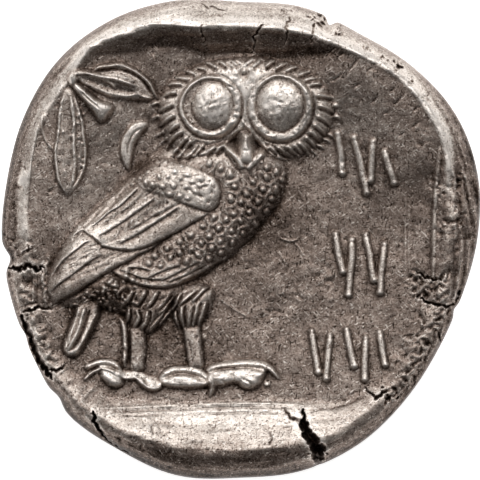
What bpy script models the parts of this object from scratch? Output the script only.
"""Silver owl tetradrachm: one struck flan that lies with its owl side up.

The flan is a thick, uneven disc. Its owl side has a square sunk punch mark with the owl in it, a sprig, a
crescent and three rows of short strokes. Its underside carries a plain helmeted head in high relief, worn
flat where it is highest, and the coin rests on that flat.

Every size below is in millimetres and is turned into metres when the mesh is made. The origin is on the
ground under the middle of the coin, +Z is up out of the owl side and +Y points to the top of the owl.
"""

import math

import bmesh
import bpy
import numpy as np

MM = 0.001

# Flan: its radius every 15 degrees from +X, and small steps in its edge as (degrees, depth, half spread).
FLAN_RADII = (
    11.90, 12.36, 12.52, 12.28, 11.97, 12.10, 11.96, 12.44, 12.78, 12.83, 12.49, 12.08,
    11.95, 11.85, 11.92, 12.28, 12.15, 12.22, 11.92, 11.98, 11.85, 11.55, 11.36, 11.46,
)
EDGE_STEPS = (
    (67.5, 0.33, 1.1), (184.5, 0.35, 2.5), (221.0, 0.18, 2.5), (204.0, 0.1, 2.0), (342.0, 0.12, 1.5),
)
EDGE_BULGE = 0.12
ROUND_REACH = 0.98

# Heights above the ground.
FLOOR_HEIGHT = 4.40
FLOOR_DISH = 0.0052
EDGE_HEIGHT = 4.3
UNDER_FIELD_HEIGHT = 1.12
UNDER_DISH = 0.0062
UNDER_ROUND = 1.75
UNDER_ROUND_WIDTH = 2.4

# Relief above the ground it stands on.
BODY_RELIEF = 0.75
WING_STEP = 0.2
SHOULDER_STEP = 0.16
COVERTS_STEP = 0.1
HEAD_RELIEF = 0.62
BROW_RELIEF = 0.86
SOCKET_RELIEF = 0.6
BEAK_RELIEF = 1.0
EYE_RELIEF = 1.1
EYE_RING_RELIEF = 1.0
EYE_RING_RADIUS = 1.42
EYE_RING_HALF_WIDTH = 0.2
EYE_RING_ROUND = 0.5
EYE_BALL_RADIUS = 1.20
THIGH_RELIEF = 0.58
LEG_RELIEF = 0.38
TAIL_RELIEF = 0.5
FOOT_RELIEF = 0.62
LEAF_RELIEF = 0.2
RIB_RELIEF = 0.36
BERRY_RELIEF = 0.42
CRESCENT_RELIEF = 0.38
STROKE_RELIEF = 0.32
STROKE_WIDTH = 0.40
STROKE_END_RADIUS = 0.24
UNDER_HEAD_RELIEF = 0.75
UNDER_HEAD_SWELL = 0.58
UNDER_HEAD_HALF_SIZE = (6.0, 7.0)
HELMET_STEP = 0.14
HELMET_CREST_RELIEF = 0.62

# A ridge starts and ends at this share of its height, and rises to all of it over this share of its length.
RIDGE_END_HEIGHT = 0.3
RIDGE_END_SHARE = 0.17

# Mesh: cells along a side of the grid, rings down the edge, and the share of triangles that is kept.
GRID_CELLS = 200
EDGE_RINGS = 4
KEPT_SHARE = 0.0585
SHEET_HALF = 13.2
SHEET_PITCH = 0.08

# The rim of the owl side, round the coin from +X: degrees, radius of the floor's edge, radius of the crest,
# height of the crest, how much of that height the floor banks up before the wall, and how sharp the crest is.
# The floor starts to bank up at a share of the radius of its edge.
RIM = (
    (0, 9.55, 10.4, 5.3, 0.3, 0.1), (15, 9.85, 10.7, 5.35, 0.4, 0.15), (25, 10.6, 11.2, 5.5, 0.8, 0.4),
    (35, 11.1, 11.35, 5.55, 0.95, 0.5), (45, 11.15, 11.35, 5.6, 0.95, 0.5), (55, 10.8, 11.05, 5.7, 0.95, 0.5),
    (62, 10.55, 10.9, 5.75, 0.85, 0.5), (70, 9.8, 10.8, 5.8, 0.35, 0.5), (78, 9.35, 10.7, 5.88, 0.05, 0.5),
    (90, 9.35, 10.62, 5.9, 0.0, 0.5), (100, 9.5, 10.75, 5.9, 0.0, 0.4), (106, 10.0, 11.1, 5.85, 0.0, 0.15),
    (113, 10.4, 11.5, 5.8, 0.1, 0.1), (121, 10.9, 11.8, 5.7, 0.2, 0.1), (128, 11.6, 12.1, 5.55, 0.5, 0.2),
    (137, 11.55, 11.85, 5.45, 0.85, 0.3), (150, 11.45, 11.75, 5.35, 0.9, 0.3),
    (165, 11.1, 11.4, 5.3, 0.9, 0.3), (180, 10.6, 10.9, 5.25, 0.9, 0.3), (192, 10.6, 11.1, 5.15, 0.8, 0.1),
    (205, 10.6, 11.2, 5.1, 0.8, 0.0), (217, 10.6, 11.35, 5.25, 0.6, 0.0), (225, 10.3, 11.35, 5.5, 0.2, 0.0),
    (232, 9.9, 11.2, 5.65, 0.05, 0.0), (240, 9.4, 11.0, 5.75, 0.0, 0.0), (250, 8.8, 10.75, 5.82, 0.0, 0.0),
    (260, 8.3, 10.5, 5.86, 0.0, 0.0), (270, 8.1, 10.35, 5.88, 0.0, 0.0), (280, 8.2, 10.35, 5.86, 0.0, 0.0),
    (290, 8.6, 10.5, 5.8, 0.0, 0.0), (299, 9.2, 10.6, 5.6, 0.05, 0.0), (307, 9.7, 10.6, 5.35, 0.2, 0.0),
    (316, 9.9, 10.6, 5.15, 0.5, 0.0), (330, 9.7, 10.5, 5.1, 0.6, 0.0), (345, 9.55, 10.4, 5.2, 0.4, 0.0),
)
BANK_START = 0.55
RIM_BLUR = 0.12

# The owl.
EYE_CENTRES = ((-1.45, 6.62), (2.02, 6.62))
HEAD_CENTRE = (0.15, 6.6)
HEAD_HALF_SIZE = (4.0, 2.3)
BODY_OUTLINE = (
    (-4.6, 4.2), (-6.0, 2.75), (-8.0, 0.95), (-9.2, -0.7), (-9.7, -2.4), (-9.5, -3.35), (-8.2, -3.45),
    (-6.5, -3.5), (-5.6, -3.9), (-4.0, -3.7), (-3.2, -3.2), (-1.6, -1.75), (-0.3, -0.8), (0.6, 0.1),
    (1.35, 0.95), (2.1, 2.0), (2.45, 3.1), (2.35, 4.0), (2.2, 5.0), (-2.0, 5.2),
)
WING_OUTLINE = (
    (-4.0, 4.15), (-1.6, 3.4), (-0.95, 2.9), (-1.0, 2.0), (-1.5, 1.35), (-4.0, 0.0), (-6.5, -1.6),
    (-8.0, -2.45), (-9.5, -3.3), (-9.75, -2.5), (-9.25, -0.9), (-8.1, 0.7), (-6.3, 2.3), (-4.9, 3.6),
)
SHOULDER_OUTLINE = (
    (-4.1, 4.1), (-3.0, 3.95), (-1.5, 3.3), (-0.98, 2.75), (-1.02, 1.95), (-1.5, 1.42), (-2.3, 1.55),
    (-3.0, 1.85), (-4.2, 2.3), (-5.2, 2.75), (-5.2, 3.4),
)
COVERTS_OUTLINE = (
    (-5.1, 2.7), (-3.1, 2.0), (-1.4, 1.45), (-2.4, 0.95), (-4.0, 0.05), (-5.4, -0.45), (-6.4, -0.42),
    (-7.2, 0.05), (-7.75, 0.45), (-6.8, 1.15),
)
WING_GROOVES = (
    ((-5.0, 2.65), (-6.0, 1.75), (-7.6, 0.5)),
    ((-4.0, 2.25), (-5.0, 1.6), (-7.05, 0.2)),
    ((-2.9, 1.85), (-5.0, 0.4), (-6.3, -0.28)),
    ((-7.4, 0.1), (-8.6, -0.9), (-9.45, -2.0)),
    ((-6.85, -0.72), (-8.3, -1.7), (-9.5, -2.75)),
    ((-7.75, 0.42), (-6.9, -0.28), (-5.5, -0.52), (-4.0, -0.02), (-2.0, 1.05), (-1.15, 1.6)),
)
NEAR_THIGH_OUTLINE = (
    (-6.1, -2.4), (-3.0, -2.4), (-3.3, -3.5), (-4.2, -4.9), (-4.7, -4.75), (-5.4, -4.5), (-5.7, -3.8),
)
FAR_THIGH_OUTLINE = (
    (-3.4, -2.4), (-1.4, -2.2), (-1.5, -3.3), (-1.75, -4.1), (-2.2, -4.45), (-3.0, -4.45), (-3.3, -3.8),
)
NEAR_LEG_OUTLINE = ((-5.45, -4.3), (-4.75, -4.3), (-4.8, -6.6), (-5.4, -6.6))
FAR_LEG_OUTLINE = ((-3.25, -4.2), (-1.95, -4.2), (-1.75, -6.6), (-2.75, -6.6))
TAIL_OUTLINE = (
    (-8.3, -3.3), (-8.7, -4.5), (-8.9, -5.3), (-8.4, -5.95), (-7.9, -5.6), (-7.5, -4.9), (-6.9, -3.4),
)
FOOT_OUTLINES = (
    ((-7.6, -6.5), (-7.0, -6.12), (-6.2, -6.1), (-5.0, -6.4), (-4.0, -6.6), (-4.2, -7.4), (-5.0, -7.2),
     (-6.2, -7.3), (-6.9, -6.95)),
    ((-4.1, -6.6), (-2.8, -6.5), (-1.7, -6.8), (-1.6, -7.3), (-2.8, -7.4), (-4.1, -7.4)),
    ((-1.65, -6.5), (-0.6, -6.2), (0.5, -6.1), (1.5, -6.4), (1.9, -7.0), (1.0, -7.3), (-0.4, -7.2),
     (-1.4, -7.2)),
)

# The sprig and the crescent behind the owl's head.
UPPER_LEAF_OUTLINE = (
    (-8.2, 8.3), (-7.0, 8.55), (-6.0, 8.75), (-5.2, 8.4), (-4.6, 7.6), (-4.3, 6.9), (-5.5, 7.0),
    (-6.5, 7.05), (-7.3, 7.5),
)
LOWER_LEAF_OUTLINE = (
    (-8.75, 7.5), (-9.1, 5.8), (-9.25, 4.2), (-9.15, 3.3), (-8.6, 2.2), (-8.1, 2.7), (-7.8, 4.6),
    (-7.95, 6.0), (-8.3, 7.4),
)
LEAF_RIBS = (((-8.3, 8.3), (-7.0, 8.15), (-4.9, 7.5)), ((-8.55, 7.5), (-8.28, 5.5), (-8.5, 2.4)))
BERRY = (-6.6, 6.3)
BERRY_STALK = ((-8.3, 7.95), (-7.6, 7.3), (-7.0, 6.8))
CRESCENT_OUTLINE = (
    (-4.6, 5.9), (-5.2, 5.85), (-5.7, 5.5), (-6.0, 4.9), (-6.0, 4.3), (-5.4, 3.3), (-5.55, 4.4),
    (-5.45, 4.9), (-4.75, 5.7),
)

# Rows of short strokes on the right, each stroke as (x, y, length, lean in degrees from straight down).
STROKE_ROWS = (
    ((4.9, 5.3, 1.9, 6), (5.7, 5.1, 2.8, 12), (6.6, 4.9, 1.9, -3), (7.2, 4.4, 1.6, 18)),
    ((4.8, 0.3, 1.9, 12), (5.6, 0.0, 2.7, -4), (6.3, 0.3, 2.3, 10), (7.2, -0.2, 2.4, -5)),
    ((3.6, -4.6, 2.0, 9), (4.5, -4.8, 2.1, -5), (5.3, -4.5, 1.8, 13), (6.3, -4.9, 2.0, -3),
     (7.0, -4.6, 1.6, 7)),
)

# Deep cracks in the rim, each as (line, width, depth).
CRACKS = (
    (((3.15, -8.5), (3.2, -9.4), (3.7, -10.3), (3.9, -11.3)), 0.5, 0.8),
    (((-10.75, -3.9), (-10.4, -5.0), (-9.5, -6.9)), 0.4, 0.6),
    (((-11.3, -1.35), (-10.4, -1.3), (-9.8, -1.3)), 0.3, 0.5),
    (((7.1, -7.6), (7.6, -7.9)), 0.6, 0.5),
)

# The head on the underside, drawn as it is seen from below, facing right.
UNDER_HEAD_OUTLINE = (
    (4.5, 3.2), (4.6, 0.6), (4.4, 0.1), (5.8, -1.5), (4.9, -2.1), (5.0, -3.2), (4.5, -3.9),
    (4.5, -4.7), (3.4, -5.2), (2.5, -6.0), (2.6, -8.6), (-3.4, -8.8), (-4.2, -5.0), (-6.2, -2.0),
    (-6.8, 1.5), (-5.2, 5.4), (-1.6, 7.6), (2.0, 6.9), (4.1, 4.8),
)
HELMET_OUTLINE = (
    (4.5, 3.4), (2.2, 2.6), (0.3, 1.2), (-1.2, -0.8), (-3.2, -3.4), (-5.2, -3.6), (-6.6, -0.8),
    (-6.6, 2.0), (-5.0, 5.3), (-1.6, 7.4), (2.0, 6.7), (4.0, 4.8),
)
HELMET_CREST = ((4.4, 6.0), (2.4, 7.8), (-1.8, 8.7), (-5.8, 6.8), (-7.8, 2.6), (-7.9, -1.6), (-6.8, -4.8))
HELMET_BAND = ((4.4, 3.2), (2.2, 2.5), (0.3, 1.1), (-1.2, -0.9), (-3.1, -3.5))


def smooth_line(points, closed=False, steps=6):
    """Points along a smooth curve through the given points (Catmull-Rom)."""
    points = np.asarray(points, float)
    if closed:
        control = np.vstack([points[-1:], points, points[:2]])
    else:
        control = np.vstack([2 * points[0] - points[1], points, 2 * points[-1] - points[-2]])
    t = np.linspace(0, 1, steps, endpoint=False)[:, None]
    spans = [
        b + 0.5 * t * (c - a + t * (2 * a - 5 * b + 4 * c - d + t * (3 * (b - c) + d - a)))
        for a, b, c, d in zip(control, control[1:], control[2:], control[3:])
    ]
    if not closed:
        spans.append(points[-1:])
    return np.vstack(spans)


def distance_along(x, y, line):
    """How far each place is from a line, and where on the line its nearest point is, from 0 to 1."""
    best = np.full(x.shape, np.inf)
    share = np.zeros(x.shape)
    steps = np.diff(line, axis=0)
    lengths = np.hypot(steps[:, 0], steps[:, 1])
    done = 0.0
    for start, step, length in zip(line, steps, lengths):
        t = ((x - start[0]) * step[0] + (y - start[1]) * step[1]) / length**2
        t = np.clip(t, 0, 1)
        far = np.hypot(x - start[0] - t * step[0], y - start[1] - t * step[1])
        nearer = far < best
        best = np.where(nearer, far, best)
        share = np.where(nearer, (done + t * length) / lengths.sum(), share)
        done += length
    return best, share


def inside(x, y, outline):
    """Which places lie inside a closed outline."""
    hit = np.zeros(x.shape, bool)
    for (ax, ay), (bx, by) in zip(outline, np.roll(outline, -1, axis=0)):
        if ay != by:
            hit ^= ((ay > y) != (by > y)) & (x < (bx - ax) * (y - ay) / (by - ay) + ax)
    return hit


def blur(heights, sigma):
    """A Gaussian blur over sigma millimetres."""
    down = np.fft.fftfreq(heights.shape[0], SHEET_PITCH)[:, None]
    across = np.fft.rfftfreq(heights.shape[1], SHEET_PITCH)[None, :]
    damp = np.exp(-2 * (math.pi * sigma) ** 2 * (down**2 + across**2))
    return np.fft.irfft2(np.fft.rfft2(heights) * damp, s=heights.shape)


class Sheet:
    """A square sheet of heights that is carved one feature at a time."""

    def __init__(self):
        side = np.arange(-SHEET_HALF, SHEET_HALF + SHEET_PITCH / 2, SHEET_PITCH)
        self.x, self.y = np.meshgrid(side, side)
        self.z = np.zeros_like(self.x)

    def near(self, line, margin):
        """The part of the sheet around a line."""
        low = (np.min(line, axis=0) - margin + SHEET_HALF) / SHEET_PITCH
        high = (np.max(line, axis=0) + margin + SHEET_HALF) / SHEET_PITCH
        low = np.maximum(low.astype(int), 0)
        high = np.maximum(high.astype(int) + 2, 0)
        return np.s_[low[1] : high[1], low[0] : high[0]]

    def raise_to(self, where, shape):
        self.z[where] = np.maximum(self.z[where], shape)

    def add(self, where, shape):
        self.z[where] += shape

    def mound(self, outline, height, rounding, join=raise_to, corners=False):
        """A cushion inside an outline, rounded down to it over the given width."""
        line = np.asarray(outline, float) if corners else smooth_line(outline, True)
        where = self.near(line, 2 * rounding)
        mask = inside(self.x[where], self.y[where], line).astype(float)
        join(self, where, height * np.sqrt(np.clip(2 * blur(mask, rounding / 2) - 1, 0, 1)))

    def ridge(self, points, width, height, join=raise_to):
        """A round-topped ridge along a line, or a groove where the height is negative."""
        line = smooth_line(points)
        where = self.near(line, width)
        far, share = distance_along(self.x[where], self.y[where], line)
        ends = np.clip(RIDGE_END_HEIGHT + np.minimum(share, 1 - share) / RIDGE_END_SHARE, 0, 1)
        join(self, where, height * ends * np.clip(1 - (2 * far / width) ** 2, 0, 1))

    def dome(self, x, y, radius, height, join=raise_to):
        where = self.near(np.array([[x, y]]), radius)
        far = np.hypot(self.x[where] - x, self.y[where] - y) / radius
        join(self, where, height * np.sqrt(np.clip(1 - far**2, 0, 1)))

    def read(self, x, y):
        """Heights at any places, read between the sheet's points."""
        column = (x + SHEET_HALF) / SHEET_PITCH
        row = (y + SHEET_HALF) / SHEET_PITCH
        i = np.clip(column.astype(int), 0, self.z.shape[1] - 2)
        j = np.clip(row.astype(int), 0, self.z.shape[0] - 2)
        u = column - i
        v = row - j
        low = self.z[j, i] * (1 - u) + self.z[j, i + 1] * u
        high = self.z[j + 1, i] * (1 - u) + self.z[j + 1, i + 1] * u
        return low * (1 - v) + high * v


def around(points, degrees):
    """A value given at some angles, read smoothly at any angle round the coin."""
    points = np.asarray(points, float)
    lap = np.array([360.0, 0.0])
    line = smooth_line(np.vstack([points[-2:] - lap, points, points[:2] + lap]))
    return np.interp(degrees % 360, line[:, 0], line[:, 1])


def flan_radius(degrees):
    step = 360 / len(FLAN_RADII)
    radius = around([(i * step, r) for i, r in enumerate(FLAN_RADII)], degrees)
    for place, depth, spread in EDGE_STEPS:
        off = (degrees - place + 180) % 360 - 180
        radius -= depth * np.exp(-((off / spread) ** 2))
    return radius


def ease(low, high, value):
    """0 below low, 1 above high, and a smooth step between them."""
    t = np.clip((value - low) / (high - low), 0, 1)
    return t * t * (3 - 2 * t)


def quarter_round(out):
    """How far a quarter round has fallen away, from 0 at its top to nearly 1 at its foot."""
    return 1 - np.sqrt(1 - ROUND_REACH * out**2)


def owl_side_ground(x, y):
    """The owl side without its figures: dished floor, sloping walls, rim crest and rounded shoulder."""
    r = np.hypot(x, y)
    degrees = np.degrees(np.arctan2(y, x))
    floor_edge, crest_ring, crest, bank, sharp = (
        around([(row[0], row[column]) for row in RIM], degrees) for column in range(1, 6)
    )
    outer_ring = np.maximum(flan_radius(degrees) - EDGE_BULGE, crest_ring + 0.3)
    dish = FLOOR_HEIGHT + FLOOR_DISH * (0.6 * x**2 + y**2)
    floor = dish + bank * (crest - dish) * ease(BANK_START, 1.0, r / floor_edge)
    up = np.clip((r - floor_edge) / (crest_ring - floor_edge), 0, 1)
    wall = floor + (crest - floor) * up
    out = np.clip((r - crest_ring) / (outer_ring - crest_ring), 0, 1)
    fall = sharp * out + (1 - sharp) * quarter_round(out)
    shoulder = crest - (crest - EDGE_HEIGHT) * fall
    return np.where(r < crest_ring, wall, shoulder)


def under_ground(x, y):
    """The underside without its head: a shallow dome, rounded up to the edge."""
    r = np.hypot(x, y)
    outer_ring = flan_radius(np.degrees(np.arctan2(y, x))) - EDGE_BULGE
    out = np.clip(1 + (r - outer_ring) / UNDER_ROUND_WIDTH, 0, 1)
    rounded = UNDER_ROUND * quarter_round(out)
    return UNDER_FIELD_HEIGHT + UNDER_DISH * r**2 + rounded


def carve_body(sheet):
    sheet.mound(BODY_OUTLINE, BODY_RELIEF, rounding=1.6)
    sheet.mound(WING_OUTLINE, WING_STEP, rounding=0.5, join=Sheet.add)
    sheet.mound(SHOULDER_OUTLINE, SHOULDER_STEP, rounding=0.7, join=Sheet.add)
    sheet.mound(COVERTS_OUTLINE, COVERTS_STEP, rounding=0.3, join=Sheet.add)
    for line in WING_GROOVES:
        sheet.ridge(line, width=0.3, height=-0.15, join=Sheet.add)


def carve_legs(sheet):
    sheet.mound(NEAR_THIGH_OUTLINE, THIGH_RELIEF, rounding=0.7)
    sheet.mound(FAR_THIGH_OUTLINE, THIGH_RELIEF, rounding=0.6)
    sheet.mound(NEAR_LEG_OUTLINE, LEG_RELIEF, rounding=0.4, corners=True)
    sheet.mound(FAR_LEG_OUTLINE, LEG_RELIEF, rounding=0.45, corners=True)
    sheet.mound(TAIL_OUTLINE, TAIL_RELIEF, rounding=0.4)
    for outline in FOOT_OUTLINES:
        sheet.mound(outline, FOOT_RELIEF, rounding=0.4)


def carve_head(sheet):
    """The owl's facing head, with ringed eyes, a brow and a short beak, all over the body."""
    head = Sheet()
    oval = [
        (HEAD_CENTRE[0] + HEAD_HALF_SIZE[0] * math.cos(a), HEAD_CENTRE[1] + HEAD_HALF_SIZE[1] * math.sin(a))
        for a in np.linspace(0, math.tau, 16, endpoint=False)
    ]
    head.mound(oval, HEAD_RELIEF, rounding=1.3)
    head.ridge(((-1.2, 8.35), (0.2, 8.5), (1.7, 8.35)), width=0.9, height=BROW_RELIEF)
    head.ridge(((0.25, 8.3), (0.25, 6.0)), width=0.5, height=BROW_RELIEF)
    for x, y in EYE_CENTRES:
        far = np.hypot(head.x - x, head.y - y)
        off_ring = far - EYE_RING_RADIUS
        ring = EYE_RING_RELIEF * (1 - (off_ring / EYE_RING_ROUND) ** 2)
        head.z = np.where(off_ring < 0, SOCKET_RELIEF, head.z)
        head.z = np.where(abs(off_ring) < EYE_RING_HALF_WIDTH, np.maximum(ring, head.z), head.z)
        head.dome(x, y, EYE_BALL_RADIUS, EYE_RELIEF)
    head.ridge(((0.33, 5.3), (0.3, 3.9)), width=0.5, height=BEAK_RELIEF)
    head.ridge(((-0.8, 4.65), (0.0, 4.0), (0.25, 3.3)), width=0.45, height=BEAK_RELIEF)
    head.ridge(((1.15, 4.6), (0.6, 4.0), (0.25, 3.3)), width=0.45, height=BEAK_RELIEF)
    covered = head.z > 0
    sheet.z[covered] = head.z[covered]


def carve_sprig_and_crescent(sheet):
    sheet.mound(UPPER_LEAF_OUTLINE, LEAF_RELIEF, rounding=0.35)
    sheet.mound(LOWER_LEAF_OUTLINE, LEAF_RELIEF, rounding=0.35)
    for rib in LEAF_RIBS:
        sheet.ridge(rib, width=0.4, height=RIB_RELIEF)
    sheet.ridge(BERRY_STALK, width=0.4, height=RIB_RELIEF)
    sheet.dome(*BERRY, radius=0.55, height=BERRY_RELIEF)
    sheet.mound(CRESCENT_OUTLINE, CRESCENT_RELIEF, rounding=0.2)


def carve_strokes(sheet):
    for row in STROKE_ROWS:
        for x, y, length, lean in row:
            end_x = x + length * math.sin(math.radians(lean))
            end_y = y - length * math.cos(math.radians(lean))
            sheet.ridge(((x, y), (end_x, end_y)), STROKE_WIDTH, STROKE_RELIEF)
            sheet.dome(end_x, end_y, STROKE_END_RADIUS, STROKE_RELIEF)


def owl_side():
    """Heights of the whole owl side above the ground."""
    sheet = Sheet()
    carve_body(sheet)
    carve_legs(sheet)
    carve_head(sheet)
    carve_sprig_and_crescent(sheet)
    carve_strokes(sheet)
    for line, width, depth in CRACKS:
        sheet.ridge(line, width, -depth, Sheet.add)
    sheet.z += blur(owl_side_ground(sheet.x, sheet.y), RIM_BLUR)
    return sheet


def under_relief():
    """The helmeted head. Seen from above, left and right are swapped."""
    sheet = Sheet()
    sheet.mound(UNDER_HEAD_OUTLINE, UNDER_HEAD_RELIEF, rounding=1.3)
    swell = 1 - (sheet.x / UNDER_HEAD_HALF_SIZE[0]) ** 2 - (sheet.y / UNDER_HEAD_HALF_SIZE[1]) ** 2
    sheet.z += UNDER_HEAD_SWELL * np.clip(swell, 0, 1) * np.clip(sheet.z / UNDER_HEAD_RELIEF, 0, 1)
    sheet.mound(HELMET_OUTLINE, HELMET_STEP, rounding=0.4, join=Sheet.add)
    sheet.ridge(HELMET_BAND, width=0.5, height=HELMET_STEP, join=Sheet.add)
    sheet.ridge(HELMET_CREST, width=1.4, height=HELMET_CREST_RELIEF)
    sheet.z = sheet.z[:, ::-1].copy()
    return sheet


def flan_mesh():
    """A square grid made one cell thick, its edge cut into rings, then pressed into the struck flan."""
    mesh = bmesh.new()
    bmesh.ops.create_grid(mesh, x_segments=GRID_CELLS, y_segments=GRID_CELLS, size=1)
    bmesh.ops.solidify(mesh, geom=mesh.faces[:], thickness=1)
    upright = [edge for edge in mesh.edges if abs(edge.verts[0].co.z - edge.verts[1].co.z) > 0.5]
    bmesh.ops.subdivide_edges(mesh, edges=upright, cuts=EDGE_RINGS)
    places = np.array([vertex.co for vertex in mesh.verts])
    for vertex, place in zip(mesh.verts, struck(places)):
        vertex.co = place * MM
    bmesh.ops.recalc_face_normals(mesh, faces=mesh.faces[:])
    return mesh


def struck(places):
    """Where each point of the blank square goes: out to the flan's outline, then up or down."""
    x, y, z = places.T
    depth = (z.max() - z) / (z.max() - z.min())
    disc_x = x * np.sqrt(1 - y**2 / 2)
    disc_y = y * np.sqrt(1 - x**2 / 2)
    degrees = np.degrees(np.arctan2(disc_y, disc_x))
    reach = flan_radius(degrees) - EDGE_BULGE * (1 - np.sin(math.pi * depth))
    x = disc_x * reach
    y = disc_y * reach
    top = owl_side().read(x, y)
    bottom = np.maximum(under_ground(x, y) - under_relief().read(x, y), 0)
    middle_x = (x.min() + x.max()) / 2
    middle_y = (y.min() + y.max()) / 2
    return np.column_stack([x - middle_x, y - middle_y, top + (bottom - top) * depth])


def silver():
    material = bpy.data.materials.new("toned_silver")
    material.use_nodes = True
    surface = material.node_tree.nodes["Principled BSDF"]
    surface.inputs["Base Color"].default_value = (0.42, 0.37, 0.33, 1)
    surface.inputs["Metallic"].default_value = 1
    surface.inputs["Roughness"].default_value = 0.4
    return material


def main():
    for old in list(bpy.data.objects):
        bpy.data.objects.remove(old)
    parts = bpy.data.collections.new("tetradrachm")
    bpy.context.scene.collection.children.link(parts)
    blank = flan_mesh()
    mesh = bpy.data.meshes.new("coin")
    blank.to_mesh(mesh)
    blank.free()
    mesh.shade_smooth()
    mesh.materials.append(silver())
    coin = bpy.data.objects.new("coin", mesh)
    parts.objects.link(coin)
    facets = coin.modifiers.new("facets", "DECIMATE")
    facets.ratio = KEPT_SHARE


main()
